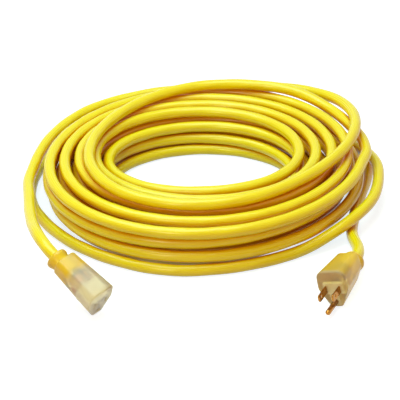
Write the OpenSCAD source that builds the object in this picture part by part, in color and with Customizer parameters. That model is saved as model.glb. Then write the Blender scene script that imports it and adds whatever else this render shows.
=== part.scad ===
// Grounded extension cord, three 12 AWG conductors in a yellow jacket, 50 ft between its ends.
// It lies on a flat surface as a pile of loops, with its plug and its connector pulled out in front.
// Both ends are moulded over in clear plastic, so what they hold inside is modelled too.
// Millimetres, +Z up, origin in the middle of the pile on the surface that it lies on.

/* [Cord] */
// Outside diameter of the jacket
cord_d = 10.8; // [9.6:0.2:11]
// Diameter of one conductor over its insulation
wire_d = 3.6; // [3:0.1:3.8]
// Diameter of the bare copper of one conductor
copper_d = 2.3; // [1.8:0.1:2.5]
// Copper left bare between the insulation and the crimped barrel
bare_copper = 1.5; // [1:0.5:3]

/* [Coil] */
// Radius of the outermost loop
coil_r_out = 155; // [153:1:157]
// Radius of the innermost loop
coil_r_in = 83.5; // [80:0.5:84.5]
// Height that one layer of loops adds
layer_step = 12.2; // [12:0.1:12.6]
// Turns from the first point of the spiral to its last
coil_turns = 17.6; // [17.6:1:18.6]
// Turns of the spiral that are left out before the coil starts
coil_lead_in = 0.85; // [0.85:1:1.85]
// Direction in which the spiral begins
coil_angle = 138; // [136:1:140]

/* [Moulded ends] */
// Width of the face of a moulded end
face_w = 28; // [27:0.5:31]
// Height of the face of a moulded end
face_h = 34; // [33.5:0.5:38]
// Rounding of the two upper corners of the face
face_round = 7; // [5:0.5:7.5]
// Width of the narrow lower edge of the face
face_low_w = 13; // [12:0.5:15]
// Length of the plug's main body behind the face
plug_body_len = 43; // [41:1:47]
// Length of the connector's main body behind the face
connector_body_len = 48; // [45:1:50]
// Size of the rear of a main body as a share of the face
body_taper = 0.81; // [0.8:0.01:0.9]
// Length of the waist between the main body and the collar
waist_len = 3; // [2:0.5:5]
// Diameter of the waist
waist_d = 17; // [16:0.5:18]
// Length of the collar where the cord goes in
collar_len = 7; // [6:0.5:10]
// Diameter of the collar
collar_d = 20; // [19:0.5:22]
// Bevel round the front of a moulded end
face_bevel = 1.2; // [0.6:0.1:1.6]
// Depth behind the face at which the cord's jacket ends in the plug
plug_jacket_depth = 28; // [28:0.5:32]
// Depth behind the face at which the cord's jacket ends in the connector
connector_jacket_depth = 37; // [36.5:0.5:39]
// Gap left round every piece that the clear plastic is moulded over
mold_gap = 0.05; // [0.03:0.01:0.1]

/* [Blades and ground pin] */
// Distance between the two blades, middle to middle
blade_pitch = 12.7; // [12.5:0.1:13]
// Width of a blade
blade_w = 6.35; // [6:0.05:6.6]
// Thickness of a blade
blade_t = 1.52; // [1.4:0.02:1.6]
// Length of a blade in front of the face
blade_len = 17.5; // [16:0.5:18.5]
// Bevel at the tip of a blade
blade_tip = 1.4; // [0.8:0.1:2]
// Diameter of the hole through a blade
blade_hole_d = 3.2; // [2.8:0.1:4]
// Distance of that hole from the face
blade_hole_at = 12; // [11:0.5:12.5]
// Diameter of the ground pin
pin_d = 4.8; // [4.6:0.05:4.9]
// Length of the ground pin in front of the face, with its round nose
pin_len = 21; // [19:0.5:22]
// Diameter of the thinner root of the ground pin inside the moulding
pin_root_d = 4.4; // [4.3:0.05:4.5]
// Distance of the ground pin below the line of the blades
pin_drop = 11.9; // [11.7:0.1:12]
// How far blades and pin reach back behind the face before their barrels
blade_root = 9; // [9:0.5:11]
// Outside diameter of a crimped barrel
barrel_d = 4; // [3.6:0.1:4.2]
// Length of a crimped barrel
barrel_len = 5; // [4.5:0.5:5.5]
// Depth of the clear plastic in front of the insert in both ends
face_skin = 1.5; // [1:0.1:2]
// Depth of the white bridge that holds the blades apart
bridge_depth = 7; // [6:0.5:8]
// Height of the bridge's cross bar
bridge_h = 10; // [9:0.5:11]

/* [Connector] */
// Depth of the cream insert that holds the contacts
insert_depth = 17; // [16.5:0.5:17.5]
// Width of the insert
insert_w = 20; // [19.5:0.5:21]
// Thickness of the insert in front of the contacts
insert_front = 4; // [3:0.5:5]
// Width of a blade slot
slot_t = 2.2; // [2:0.1:2.4]
// Height of a blade slot
slot_h = 7.2; // [7:0.1:7.6]
// Diameter of the ground hole
socket_d = 5.4; // [5.2:0.1:5.6]
// Thickness of the sheet brass of the contacts
contact_t = 0.7; // [0.5:0.1:0.8]
// Gap between the two leaves of a blade contact
contact_gap = 1.3; // [1.1:0.05:1.4]
// Length of the contacts inside the insert
contact_len = 12; // [11:0.5:12.5]
// Room round a contact in its pocket
contact_room = 0.3; // [0.2:0.05:0.4]
// Diameter of the indicator lamp
lamp_d = 4; // [3.5:0.1:4.5]
// Length of the indicator lamp with its round end
lamp_len = 8; // [7:0.5:9]
// Diameter of the lamp's resistor
resistor_d = 2.4; // [2:0.1:2.6]
// Length of the lamp's resistor
resistor_len = 6; // [5:0.5:7]
// Diameter of the lamp's wire leads
lead_d = 0.7; // [0.6:0.05:0.8]

/* [Hidden] */
$fn = 30;

yellow = "gold";
brass = "darkgoldenrod";
clear = [0.85, 0.78, 0.6, 0.45];
// Overlap with which a cut passes through a face
cut = 1;

// Middle of the pile of loops, from the middle of everything's outline on the floor
pile_at = coil_r_out * [-0.033, 0.201, 0];

// ---- where the two ends lie: their faces' middles, counted from the middle of the pile ----
face_top = face_h / 2;
low_round = 3;
// Thickness of the thin slices that the body of an end is drawn through
slab = 0.4;
// Height of the middle of a face over its lowest point, when it is rolled by this angle
function face_drop(roll) =
    (face_top - low_round) * cos(roll) + (face_low_w / 2 - low_round) * sin(abs(roll)) + low_round;
// Height of the middle of a face when the end lies on the floor, dipped or raised by this angle
function rest_height(roll, dip) =
    face_drop(roll) * cos(dip) - (face_bevel + (dip < 0 ? slab : 0)) * sin(dip);
plug_yaw = -25;
plug_dip = 0;
plug_roll = 16;
plug_out = coil_r_out * [0.7355, -1.357];
plug_at = pile_at + [each plug_out, rest_height(plug_roll, plug_dip)];
connector_yaw = 49;
connector_dip = 25;
connector_roll = 10;
connector_out = coil_r_out * [-0.5471, -1.469];
connector_at = pile_at + [each connector_out, rest_height(connector_roll, connector_dip)];
plug_end = plug_body_len + waist_len + collar_len;
connector_end = connector_body_len + waist_len + collar_len;
// Way out of a face, for an end turned by yaw and dipped towards the floor
function forward(yaw, dip) = [sin(yaw) * cos(dip), -cos(yaw) * cos(dip), -sin(dip)];
plug_way = forward(plug_yaw, plug_dip);
connector_way = forward(connector_yaw, connector_dip);
plug_rear = plug_at - plug_end * plug_way;
connector_rear = connector_at - connector_end * connector_way;

// ---- the coil: a spiral in and out again, in four layers ----
// The centre of the loops shifts from the outside to the inside, and from the floor to the top.
centre_out = [4, -7];
centre_in = [1, -10];
centre_out_rise = 3;
centre_in_rise = 14;
// How far a loop is from round, along the X axis and along the diagonal
oval_out = [-0.01, 0.052];
oval_in = [0.064, 0];
layers = 4;
rings_per_turn = 24;
coil_sides = 6;
layer_turns = coil_turns / layers;
// The lowest layer is cut flat by a tenth of the cord's diameter where it lies on the floor
coil_z = 0.4 * cord_d;

function mix(a, b, t) = a + (b - a) * t;
function smooth(x) = let (c = max(0, min(1, x))) c * c * (3 - 2 * c);
function unit(v) = v / norm(v);
// A layer is climbed in the half turn round the place where the spiral reverses
function climbed(s) =
    smooth((s - layer_turns) * 2 + 0.5) + smooth((s - 2 * layer_turns) * 2 + 0.5)
    + smooth((s - 3 * layer_turns) * 2 + 0.5);
function coil_point(s) =
    let (
        layer = min(layers - 1, max(0, floor(s / layer_turns))),
        part = s / layer_turns - layer,
        inward = layer % 2 == 0 ? part : 1 - part,
        level = climbed(s) / (layers - 1),
        a = coil_angle + 360 * s,
        oval = mix(oval_out, oval_in, inward),
        r = mix(coil_r_out, coil_r_in, inward) * (1 + oval[0] * cos(2 * a) + oval[1] * sin(2 * a)),
        middle = mix(centre_out + [0, centre_out_rise * level], centre_in + [0, centre_in_rise * level],
            inward)
    )
    pile_at + [middle[0] + r * cos(a), middle[1] + r * sin(a), coil_z + layer_step * climbed(s)];
coil_steps = round((coil_turns - coil_lead_in) * rings_per_turn);
coil_line = [for (i = [0:coil_steps]) coil_point(coil_lead_in + i / rings_per_turn)];
function chord_way(line, i) =
    unit(line[min(i + 1, len(line) - 1)] - line[max(i - 1, 0)]);
// The two ends of the coil run straight for one diameter of the cord
coil_start_way = chord_way(coil_line, 0);
coil_end_way = chord_way(coil_line, coil_steps);
coil_start = coil_line[0] - cord_d * coil_start_way;
coil_end = coil_line[coil_steps] + cord_d * coil_end_way;
coil_path = concat([coil_start], coil_line, [coil_end]);
coil_gap = min([for (i = [0:coil_steps]) for (j = [i + rings_per_turn / 2:coil_steps])
    norm(coil_line[i] - coil_line[j])]) - cord_d;
echo(str("Least gap of the coil to itself: ", coil_gap, " mm"));

// ---- the two stretches that aren't coiled ----
tail_sides = 8;
tail_rings = 38;
// Their points are counted from the middle of the pile: the first two numbers in radii of the
// outermost loop, and the third, the lift off the floor, in layers.
// From the plug round the pile on the floor, then over its own start and in under the pile
plug_route = [[0.922, -0.839, 0.58], [0.908, -0.619, 0.04], [0.94, -0.4, 0], [1, -0.15, 0],
    [1.065, 0.1, 0], [1.095, 0.36, 0], [1.006, 0.619, 0], [0.703, 0.968, 0], [0.271, 1.103, 0],
    [-0.168, 1.097, 0], [-0.581, 0.929, 0], [-0.89, 0.613, 0], [-1.039, 0.206, 0],
    [-1.045, -0.219, 0], [-0.838, -0.622, 0], [-0.536, -0.888, 0], [-0.168, -1.026, 0],
    [0.232, -0.981, 0], [0.587, -0.819, 0.05], [0.89, -0.606, 1.06], [1.065, -0.323, 1.28],
    [1.123, 0.026, 1.4], [1.084, 0.258, 1.16], [1.013, 0.439, 0.7], [0.903, 0.581, 0.17],
    [0.542, 0.845, -0.03]];
// From the end of the coil round the top of the pile, then down outside it to the connector
connector_route = [[1.019, 0.232, 3], [0.871, 0.581, 3.08], [0.632, 0.768, 3.74],
    [0.335, 0.852, 3.87], [0, 0.832, 3.87], [-0.29, 0.671, 3.87], [-0.529, 0.387, 3.87],
    [-0.665, 0.039, 3.87], [-0.658, -0.323, 3.87], [-0.465, -0.645, 3.87], [-0.103, -0.8, 3.87],
    [0.297, -0.723, 3.87], [0.645, -0.452, 3.92], [0.897, -0.09, 4.02], [0.994, 0.284, 4.02],
    [0.922, 0.649, 3.57], [0.684, 0.905, 3.08], [0.335, 1.019, 2.75], [-0.052, 1.006, 2.59],
    [-0.426, 0.903, 2.51], [-0.761, 0.684, 2.34], [-0.974, 0.31, 2.1], [-1.052, -0.155, 1.85],
    [-1.032, -0.413, 2.1], [-1, -0.677, 2.43], [-0.958, -0.91, 2.9], [-0.912, -1.08, 3.35]];
function laid(q) = pile_at + [q[0] * coil_r_out, q[1] * coil_r_out, cord_d / 2 + q[2] * layer_step];
// Point t of the smooth curve through a route, where point 0 is the route's first
function curve_point(p, t) =
    let (
        last = len(p) - 1,
        i = min(floor(t), last - 1),
        f = t - i,
        a = i > 0 ? p[i - 1] : 2 * p[0] - p[1],
        b = p[i],
        c = p[i + 1],
        d = i + 2 <= last ? p[i + 2] : 2 * p[last] - p[last - 1]
    )
    (2 * b + (c - a) * f + (2 * a - 5 * b + 4 * c - d) * f * f + (3 * b - a - 3 * c + d) * f * f * f) / 2;
// A tail starts and ends straight for one diameter of the cord
function tail_path(from, from_way, route, to, to_way) =
    let (
        p = concat([from + cord_d * from_way], [for (q = route) laid(q)], [to - cord_d * to_way]),
        step = (len(p) - 1) / (tail_rings - 1)
    )
    concat([from], [for (i = [0:tail_rings - 1]) curve_point(p, i * step)], [to]);
plug_path = tail_path(plug_rear, -plug_way, plug_route, coil_start, coil_start_way);
connector_path = tail_path(coil_end, coil_end_way, connector_route, connector_rear, connector_way);

function path_length(p) = [for (i = 1, l = norm(p[1] - p[0]); i < len(p);
    i = i + 1, l = l + (i < len(p) ? norm(p[i] - p[i - 1]) : 0)) l][len(p) - 2];
echo(str("Length of cord between the two ends: ",
    path_length(plug_path) + path_length(coil_path) + path_length(connector_path), " mm"));

// A round of points about p, square to the way the tube runs; level is across the tube all along it
function ring(p, way, r, sides, level) =
    let (side = unit(cross(way, level)), up = cross(side, way))
    [for (k = [0:sides - 1]) p + r * (cos(360 * k / sides) * side + sin(360 * k / sides) * up)];
// A tube round a path of points, square to first_way and last_way over its first and last stretch
module tube(path, first_way, last_way, d, sides, level = [0, 0, 1], floor_z = -connector_end * 2) {
    n = len(path);
    rings = [for (i = [0:n - 1])
        each ring(path[i], i <= 1 ? first_way : i >= n - 2 ? last_way : chord_way(path, i),
            d / 2, sides, level)];
    points = [for (q = rings) [q[0], q[1], max(floor_z, q[2])]];
    walls = [for (i = [0:n - 2]) for (k = [0:sides - 1])
        let (a = i * sides + k, b = i * sides + (k + 1) % sides)
        each [[a, b, b + sides], [a, b + sides, a + sides]]];
    start_cap = [for (k = [1:sides - 2]) [0, k + 1, k]];
    end_cap = [for (k = [1:sides - 2]) [(n - 1) * sides, (n - 1) * sides + k, (n - 1) * sides + k + 1]];
    polyhedron(points, concat(walls, start_cap, end_cap), convexity = 10);
}
module cord_coil() {
    color(yellow) tube(coil_path, coil_start_way, coil_end_way, cord_d, coil_sides, floor_z = 0);
}
module plug_tail() {
    color(yellow) tube(plug_path, -plug_way, coil_start_way, cord_d, tail_sides, floor_z = 0);
}
module connector_tail() {
    color(yellow) tube(connector_path, coil_end_way, connector_way, cord_d, tail_sides, floor_z = 0);
}

// ---- frames of the two ends: +Z out of the face, +Y up, the face in the XY plane ----
module at_end(place, yaw, dip, roll) {
    translate(place) rotate([0, 0, yaw]) rotate([90 + dip, 0, 0]) rotate([0, 0, roll]) children();
}
module at_plug() {
    at_end(plug_at, plug_yaw, plug_dip, plug_roll) children();
}
module at_connector() {
    at_end(connector_at, connector_yaw, connector_dip, connector_roll) children();
}

// ---- the moulded body, alike at both ends ----
bulge_r = 10;
bulge_y = 2;
module face_outline(inset = 0) {
    hull() {
        for (s = [-1, 1]) {
            translate([s * (face_w / 2 - 0.5 - face_round), face_top - face_round])
                circle(face_round - inset);
            translate([s * (face_w / 2 - bulge_r), bulge_y]) circle(bulge_r - inset);
            translate([s * (face_low_w / 2 - low_round), low_round - face_top]) circle(low_round - inset);
        }
    }
}
module end_shape(body_len) {
    end_len = body_len + waist_len + collar_len;
    // main body, narrowing from the face to its shoulder
    hull() {
        translate([0, 0, -slab]) linear_extrude(slab) face_outline(face_bevel);
        translate([0, 0, -face_bevel - slab]) linear_extrude(slab) face_outline();
        translate([0, 0, -body_len + face_bevel]) linear_extrude(slab) scale(body_taper) face_outline();
        translate([0, 0, -body_len]) linear_extrude(slab) scale(body_taper) face_outline(face_bevel);
    }
    // waist and collar
    rotate_extrude() {
        polygon([[0, -end_len], [collar_d / 2 - face_bevel, -end_len], [collar_d / 2, -end_len + face_bevel],
            [collar_d / 2, -end_len + collar_len / 2], [waist_d / 2, -end_len + collar_len],
            [waist_d / 2, -body_len + cut], [0, -body_len + cut]]);
    }
}

// ---- the cord inside an end, the same at both ----
jacket_core = wire_d / sqrt(3) + mold_gap * 2;
colours = ["dimgray", "white", "green"];
// Ways of the black, white and green conductors from the middle of the jacket
plug_wire_angles = [150, 30, 270];
connector_wire_angles = [30, 150, 270];
barrel_back = blade_root + barrel_len;
insert_back = face_skin + insert_depth;
wire_stub = 1;
function around(angle, r) = [r * cos(angle), r * sin(angle)];

module jacket_end(end_len, depth, grow = 0) {
    translate([0, 0, -end_len - (grow > 0 ? cut : 0)])
        cylinder(d = cord_d + 2 * grow, h = end_len - depth + grow + (grow > 0 ? cut : 0));
}
module jacket_bores(end_len, angles) {
    for (a = angles) translate([each around(a, jacket_core), -end_len - cut])
        cylinder(d = wire_d + 2 * mold_gap, h = end_len);
}
// One conductor: straight in the jacket, easing over to its barrel, straight again for a stub
wire_sides = 8;
wire_bends = 6;
module wire(end_len, angle, target, jacket_depth, back, grow = 0) {
    from = around(angle, jacket_core);
    bend_back = -jacket_depth + mold_gap;
    bend_front = -back - bare_copper - wire_stub;
    bends = [for (i = [0:wire_bends])
        let (part = i / wire_bends)
        [each mix(from, target, (1 - cos(180 * part)) / 2), mix(bend_back, bend_front, part)]];
    path = concat([[each from, -end_len]], bends, [[each target, -back - bare_copper + grow]]);
    tube(path, [0, 0, 1], [0, 0, 1], wire_d + 2 * grow, wire_sides, level = [1, 0, 0]);
}
module copper(target, back, depth, grow = 0) {
    translate([target[0], target[1], -back - bare_copper + mold_gap - 3 * grow])
        cylinder(d = copper_d + 2 * grow, h = bare_copper + depth - 2 * mold_gap + 3 * grow);
}
line_at = [-blade_pitch / 2, 0];
neutral_at = [blade_pitch / 2, 0];
ground_at = [0, -pin_drop];

// ---- the plug ----
module barrel(back, len, grow = 0) {
    // a crimped tube, closed at its front where it grows out of the blade, pin or contact
    difference() {
        translate([0, 0, -back]) cylinder(d = barrel_d + 2 * grow, h = len + cut);
        if (grow == 0) translate([0, 0, -back - cut])
            cylinder(d = copper_d + 2 * mold_gap, h = len + cut);
    }
}
module blade_blank(grow = 0) {
    w = blade_w / 2 + grow;
    rotate([90, 0, 90]) linear_extrude(blade_t + 2 * grow, center = true)
        polygon([[-w, -blade_root], [w, -blade_root], [w, blade_len - blade_tip],
            [w - blade_tip, blade_len], [blade_tip - w, blade_len], [-w, blade_len - blade_tip]]);
}
module blade(grow = 0) {
    difference() {
        blade_blank(grow);
        if (grow == 0) translate([0, 0, blade_hole_at]) rotate([0, 90, 0])
            cylinder(d = blade_hole_d, h = blade_t + 2 * cut, center = true);
    }
    barrel(barrel_back, barrel_len, grow);
}
// Depth of the shallow recess that the face has round the ground pin
pin_recess = 0.4;
module ground_pin(grow = 0) {
    // the full thickness starts just in front of the face, and its room also holds the recess
    start = grow > 0 ? -pin_recess : mold_gap;
    translate([0, 0, -blade_root]) cylinder(d = pin_root_d + 2 * grow, h = blade_root + mold_gap);
    translate([0, 0, start]) cylinder(d = pin_d + 2 * grow, h = pin_len - pin_d / 2 - start);
    translate([0, 0, pin_len - pin_d / 2]) sphere(d = pin_d + 2 * grow);
    barrel(barrel_back, barrel_len, grow);
}
// How far the bridge reaches past the middle of a blade, and the wall it has round the pin and under it
bridge_reach = 3;
bridge_wall = 2;
bridge_foot = 1;
module bridge_block(grow = 0) {
    w = blade_pitch + 2 * bridge_reach + 2 * grow;
    stem_w = pin_d + 2 * bridge_wall + 2 * grow;
    stem_h = pin_drop + pin_d / 2 + bridge_foot + grow;
    translate([0, 0, -face_skin - bridge_depth - grow]) {
        translate([-w / 2, -bridge_h / 2 - grow, 0]) cube([w, bridge_h + 2 * grow, bridge_depth + 2 * grow]);
        translate([-stem_w / 2, -stem_h, 0]) cube([stem_w, stem_h, bridge_depth + 2 * grow]);
    }
}
module plug_metal(grow = 0) {
    translate(line_at) blade(grow);
    translate(neutral_at) blade(grow);
    translate(ground_at) ground_pin(grow);
}
module plug_wires(grow = 0) {
    wire(plug_end, plug_wire_angles[0], line_at, plug_jacket_depth, barrel_back, grow);
    wire(plug_end, plug_wire_angles[1], neutral_at, plug_jacket_depth, barrel_back, grow);
    wire(plug_end, plug_wire_angles[2], ground_at, plug_jacket_depth, barrel_back, grow);
}
module coppers(back, grow = 0) {
    for (at = [line_at, neutral_at, ground_at]) copper(at, back, barrel_len, grow);
}
module plug_overmold() {
    color(clear) at_plug() difference() {
        end_shape(plug_body_len);
        jacket_end(plug_end, plug_jacket_depth, mold_gap);
        plug_wires(mold_gap);
        coppers(barrel_back, mold_gap);
        plug_metal(mold_gap);
        bridge_block(mold_gap);
    }
}
module plug_bridge() {
    color("white") at_plug() difference() {
        bridge_block();
        plug_metal(mold_gap);
    }
}
module plug_line_blade() {
    color(brass) at_plug() translate(line_at) blade();
}
module plug_neutral_blade() {
    color(brass) at_plug() translate(neutral_at) blade();
}
module plug_ground_pin() {
    color(brass) at_plug() translate(ground_at) ground_pin();
}
module plug_jacket_end() {
    color(yellow) at_plug() difference() {
        jacket_end(plug_end, plug_jacket_depth);
        jacket_bores(plug_end, plug_wire_angles);
    }
}
module plug_black_wire() {
    color(colours[0]) at_plug()
        wire(plug_end, plug_wire_angles[0], line_at, plug_jacket_depth, barrel_back);
}
module plug_white_wire() {
    color(colours[1]) at_plug()
        wire(plug_end, plug_wire_angles[1], neutral_at, plug_jacket_depth, barrel_back);
}
module plug_green_wire() {
    color(colours[2]) at_plug()
        wire(plug_end, plug_wire_angles[2], ground_at, plug_jacket_depth, barrel_back);
}
module plug_black_copper() {
    color("peru") at_plug() copper(line_at, barrel_back, barrel_len);
}
module plug_white_copper() {
    color("peru") at_plug() copper(neutral_at, barrel_back, barrel_len);
}
module plug_green_copper() {
    color("peru") at_plug() copper(ground_at, barrel_back, barrel_len);
}

// ---- the connector ----
// The line contact lies where the plug's line blade goes in, which is the other side seen from here.
line_slot = neutral_at;
neutral_slot = line_at;
contact_places = [line_slot, neutral_slot, ground_at];
contact_back = insert_back + barrel_len;
contact_w = contact_gap + 2 * contact_t;
pocket_front = face_skin + insert_front;
// How much the sleeve of the ground contact is narrower inside than the ground hole
sleeve_squeeze = 0.6;
ground_contact_d = socket_d + 2 * contact_t - sleeve_squeeze;
insert_h_up = 6.5;
insert_floor = 1.6;
insert_h_down = pin_drop + ground_contact_d / 2 + insert_floor;
insert_round = 2;

module blade_contact(grow = 0) {
    // two leaves joined at their back, with a barrel behind
    difference() {
        translate([-contact_w / 2 - grow, -blade_w / 2 - grow, -pocket_front - contact_len - grow])
            cube([contact_w + 2 * grow, blade_w + 2 * grow, contact_len + 2 * grow]);
        if (grow == 0) translate([-contact_gap / 2, -blade_w, -pocket_front - contact_len + contact_t])
            cube([contact_gap, 2 * blade_w, contact_len]);
    }
    barrel(contact_back, contact_back - pocket_front - contact_len, grow);
}
module ground_sleeve(grow = 0) {
    // a round sleeve slit on both sides, closed at its back, with a barrel behind
    difference() {
        translate([0, 0, -pocket_front - contact_len - grow])
            cylinder(d = ground_contact_d + 2 * grow, h = contact_len + 2 * grow);
        if (grow == 0) {
            translate([0, 0, -pocket_front - contact_len + contact_t])
                cylinder(d = ground_contact_d - 2 * contact_t, h = contact_len);
            translate([0, 0, -pocket_front - contact_len / 2 + contact_t])
                cube([ground_contact_d + cut, contact_t, contact_len + contact_t], center = true);
        }
    }
    barrel(contact_back, contact_back - pocket_front - contact_len, grow);
}
module insert_block(grow = 0) {
    translate([0, 0, -insert_back - grow]) linear_extrude(insert_depth + 2 * grow) hull() {
        for (s = [-1, 1]) {
            translate([s * (insert_w / 2 - insert_round), insert_h_up - insert_round])
                circle(insert_round + grow);
            translate([s * (insert_w / 2 - insert_round), -insert_h_up]) circle(insert_round + grow);
            translate([s * (ground_contact_d / 2 - 0.2), insert_round - insert_h_down])
                circle(insert_round + grow);
        }
    }
}
module slots() {
    for (at = [line_slot, neutral_slot])
        translate([at[0] - slot_t / 2, at[1] - slot_h / 2, -pocket_front - cut])
            cube([slot_t, slot_h, pocket_front + 2 * cut]);
    translate([each ground_at, -pocket_front - cut]) cylinder(d = socket_d, h = pocket_front + 2 * cut);
}
module pockets() {
    // rooms for the contacts, open at the back of the insert and round there for the barrels
    for (at = [line_slot, neutral_slot]) {
        translate([at[0] - contact_w / 2 - contact_room, at[1] - blade_w / 2 - contact_room,
            -insert_back - cut])
            cube([contact_w + 2 * contact_room, blade_w + 2 * contact_room,
                insert_back - pocket_front + cut]);
        translate([each at, -insert_back - cut])
            cylinder(d = barrel_d + 2 * contact_room,
                h = insert_depth - insert_front - contact_len + 2 * cut + contact_room);
    }
    translate([each ground_at, -insert_back - cut])
        cylinder(d = ground_contact_d + 2 * contact_room, h = insert_back - pocket_front + cut);
}
module contact_barrels(grow = 0) {
    for (at = [line_slot, neutral_slot, ground_at]) translate(at)
        barrel(contact_back, contact_back - pocket_front - contact_len, grow);
}
module connector_wires(grow = 0) {
    for (i = [0:2]) wire(connector_end, connector_wire_angles[i], contact_places[i],
        connector_jacket_depth, contact_back, grow);
}
// The lamp and its resistor lie side by side above the barrels, joined across the two blade contacts.
lamp_y = 8.5;
lamp_x = 3.4;
lamp_room = 2.5;
lamp_front = insert_back + lamp_room;
lead_sides = 6;
lead_rings = 7;
lead_straight = 0.4;
module bulb(grow = 0) {
    translate([-lamp_x, lamp_y, -lamp_front - lamp_len + lamp_d / 2]) {
        sphere(d = lamp_d + 2 * grow);
        cylinder(d = lamp_d + 2 * grow, h = lamp_len - lamp_d / 2 + grow);
    }
}
module resistor(grow = 0) {
    translate([lamp_x, lamp_y, -lamp_front - resistor_len - grow])
        cylinder(d = resistor_d + 2 * grow, h = resistor_len + 2 * grow);
}
module lead(route, first_way, last_way, level, grow) {
    step = (len(route) - 1) / (lead_rings - 1);
    // a lead starts and ends straight, and its room reaches on into the rooms of what it joins
    run = lead_straight + 3 * grow;
    path = concat([route[0] - run * first_way],
        [for (i = [0:lead_rings - 1]) curve_point(route, i * step)],
        [route[len(route) - 1] + run * last_way]);
    tube(path, first_way, last_way, lead_d + 2 * grow, lead_sides, level = level);
}
module leads(grow = 0) {
    // height over the middle of a barrel at which a lead ends on it, and the depth at which it crosses
    seat = barrel_d / 2 + mold_gap + lead_straight;
    across = -lamp_front + lamp_room / 2;
    lamp_outer = -lamp_x - lamp_d / 4;
    lamp_inner = -lamp_x + lamp_d / 4;
    front = -lamp_front + mold_gap + lead_straight;
    back = -lamp_front - resistor_len - mold_gap - lead_straight;
    // from the lamp to the barrel of the neutral contact
    lead([[lamp_outer, lamp_y, front], [lamp_outer, lamp_y - 0.6, across],
        [neutral_slot[0], lamp_y / 2, across], [neutral_slot[0], seat, across]],
        [0, 0, 1], [0, -1, 0], [1, 0, 0], grow);
    // from the lamp to the front of its resistor
    lead([[lamp_inner, lamp_y, front], [lamp_inner + 0.6, lamp_y, across], [lamp_x - 0.6, lamp_y, across],
        [lamp_x, lamp_y, front]], [0, 0, 1], [0, 0, -1], [0, 1, 0], grow);
    // from the back of the resistor to the barrel of the line contact
    lead([[lamp_x, lamp_y, back], [lamp_x + 0.6, lamp_y - 0.6, back - lamp_room / 2],
        [line_slot[0], lamp_y / 2, back + lamp_room], [line_slot[0], seat, -lamp_front]],
        [0, 0, -1], [0, -1, 0], [1, 0, 0], grow);
}
module connector_overmold() {
    color(clear) at_connector() difference() {
        end_shape(connector_body_len);
        jacket_end(connector_end, connector_jacket_depth, mold_gap);
        connector_wires(mold_gap);
        coppers(contact_back, mold_gap);
        contact_barrels(mold_gap);
        insert_block(mold_gap);
        slots();
        bulb(mold_gap);
        resistor(mold_gap);
        leads(mold_gap);
    }
}
module connector_insert() {
    color("cornsilk") at_connector() difference() {
        insert_block();
        slots();
        pockets();
    }
}
module line_contact() {
    color(brass) at_connector() translate(line_slot) blade_contact();
}
module neutral_contact() {
    color(brass) at_connector() translate(neutral_slot) blade_contact();
}
module ground_contact() {
    color(brass) at_connector() translate(ground_at) ground_sleeve();
}
module connector_jacket_end() {
    color(yellow) at_connector() difference() {
        jacket_end(connector_end, connector_jacket_depth);
        jacket_bores(connector_end, connector_wire_angles);
    }
}
module connector_black_wire() {
    color(colours[0]) at_connector()
        wire(connector_end, connector_wire_angles[0], line_slot, connector_jacket_depth, contact_back);
}
module connector_white_wire() {
    color(colours[1]) at_connector()
        wire(connector_end, connector_wire_angles[1], neutral_slot, connector_jacket_depth, contact_back);
}
module connector_green_wire() {
    color(colours[2]) at_connector()
        wire(connector_end, connector_wire_angles[2], ground_at, connector_jacket_depth, contact_back);
}
module connector_black_copper() {
    color("peru") at_connector() copper(line_slot, contact_back, barrel_len);
}
module connector_white_copper() {
    color("peru") at_connector() copper(neutral_slot, contact_back, barrel_len);
}
module connector_green_copper() {
    color("peru") at_connector() copper(ground_at, contact_back, barrel_len);
}
module lamp_bulb() {
    color("orange") at_connector() bulb();
}
module lamp_resistor() {
    color("tan") at_connector() resistor();
}
module lamp_leads() {
    color("silver") at_connector() leads();
}

cord_coil();
plug_tail();
connector_tail();
plug_overmold();
plug_bridge();
plug_line_blade();
plug_neutral_blade();
plug_ground_pin();
plug_jacket_end();
plug_black_wire();
plug_white_wire();
plug_green_wire();
plug_black_copper();
plug_white_copper();
plug_green_copper();
connector_overmold();
connector_insert();
line_contact();
neutral_contact();
ground_contact();
connector_jacket_end();
connector_black_wire();
connector_white_wire();
connector_green_wire();
connector_black_copper();
connector_white_copper();
connector_green_copper();
lamp_bulb();
lamp_resistor();
lamp_leads();
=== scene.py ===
import math

import bmesh
import bpy
import numpy as np
from mathutils import Matrix, Vector


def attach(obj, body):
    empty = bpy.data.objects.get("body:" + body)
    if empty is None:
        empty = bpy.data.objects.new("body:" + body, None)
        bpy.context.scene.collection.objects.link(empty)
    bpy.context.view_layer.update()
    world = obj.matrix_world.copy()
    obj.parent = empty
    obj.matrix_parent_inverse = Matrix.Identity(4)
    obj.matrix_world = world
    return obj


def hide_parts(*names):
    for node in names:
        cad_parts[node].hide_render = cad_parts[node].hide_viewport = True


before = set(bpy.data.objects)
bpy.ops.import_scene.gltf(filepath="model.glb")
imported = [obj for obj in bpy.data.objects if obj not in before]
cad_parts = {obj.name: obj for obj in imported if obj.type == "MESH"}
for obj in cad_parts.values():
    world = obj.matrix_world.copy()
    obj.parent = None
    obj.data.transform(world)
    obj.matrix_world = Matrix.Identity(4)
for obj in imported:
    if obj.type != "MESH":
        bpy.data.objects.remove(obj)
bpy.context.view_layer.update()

# The table and the light tent.
# A matt white table top inside a cloth tent, whose walls glow warm and light the cord from all round.
# A wide cool lamp hangs over it, a little to the left, and a small warm one stands in front of it.


def srgb(code):
    """The linear colour of an sRGB hex code."""
    parts = [int(code[i:i + 2], 16) / 255 for i in (0, 2, 4)]
    return (*[c / 12.92 if c <= 0.04045 else ((c + 0.055) / 1.055) ** 2.4 for c in parts], 1.0)


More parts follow.
